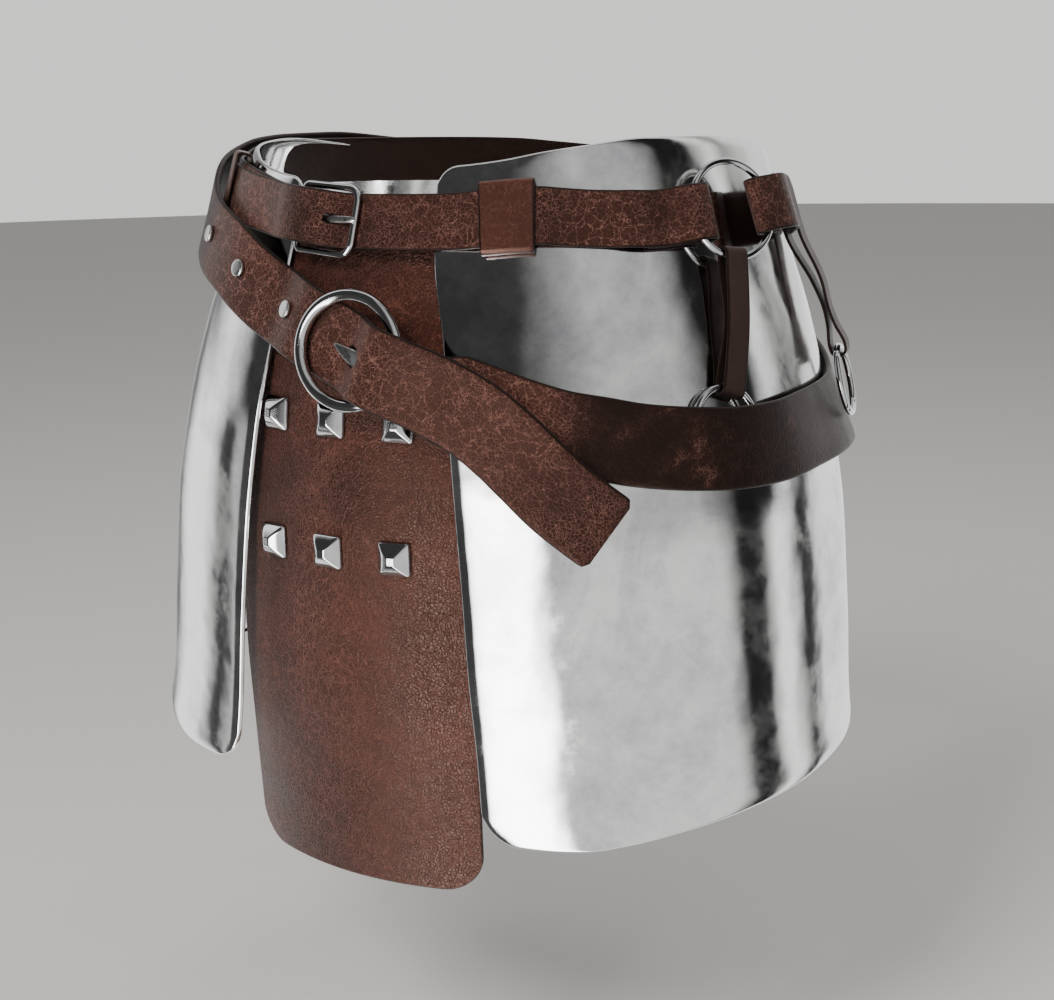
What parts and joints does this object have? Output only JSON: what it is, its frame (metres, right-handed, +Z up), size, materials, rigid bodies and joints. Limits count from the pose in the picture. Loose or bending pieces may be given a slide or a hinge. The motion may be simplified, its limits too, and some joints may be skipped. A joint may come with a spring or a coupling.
{
  "type": "waist armour with hip plates and belts",
  "caption": "Waist armour: steel hip plates, a studded leather loin panel, a buckled waist belt with rings and hanging straps, and a wide slung belt with a ring and claw prong.",
  "frame": {"origin": "middle of the wearer's waist, level with the top of the front of the waist belt", "axes": "+Z up, -Y towards the wearer's front, +X towards the wearer's left hand"},
  "size_m": [0.4997, 0.3697, 0.4633],
  "materials": {
    "polished_steel": "polished bright",
    "chromed_steel": "polished plating",
    "oiled_leather": "oiled dark brown",
    "panel_leather": "waxed dark brown"
  },
  "bodies": {
    "armour": {"plate_left": "polished_steel", "plate_right": "polished_steel", "loin_panel": "panel_leather", "pyramid_stud_1": "chromed_steel", "pyramid_stud_2": "chromed_steel", "pyramid_stud_3": "chromed_steel", "pyramid_stud_4": "chromed_steel", "pyramid_stud_5": "chromed_steel", "pyramid_stud_6": "chromed_steel", "waist_belt_front": "oiled_leather", "waist_belt_rear": "oiled_leather", "front_keeper": "oiled_leather", "tail_keeper": "oiled_leather", "front_strap": "oiled_leather", "rear_strap": "oiled_leather", "slung_belt": "oiled_leather", "waist_buckle": "chromed_steel", "waist_prong": "chromed_steel", "upper_ring": "chromed_steel", "lower_ring_front": "chromed_steel", "big_ring": "chromed_steel", "slung_prong": "chromed_steel", "belt_rivet_1": "chromed_steel", "belt_rivet_2": "chromed_steel", "belt_rivet_3": "chromed_steel"},
    "hanging_ring": {"lower_ring_rear": "chromed_steel"}
  },
  "joints": [
    {"name": "ring_swing", "type": "hinge", "parent": "armour", "child": "hanging_ring", "pos_m": [0.21891, 0.05195, -0.11837], "axis": [0.266, -0.9635, 0.0312], "range_deg": [0, 75]}
  ]
}
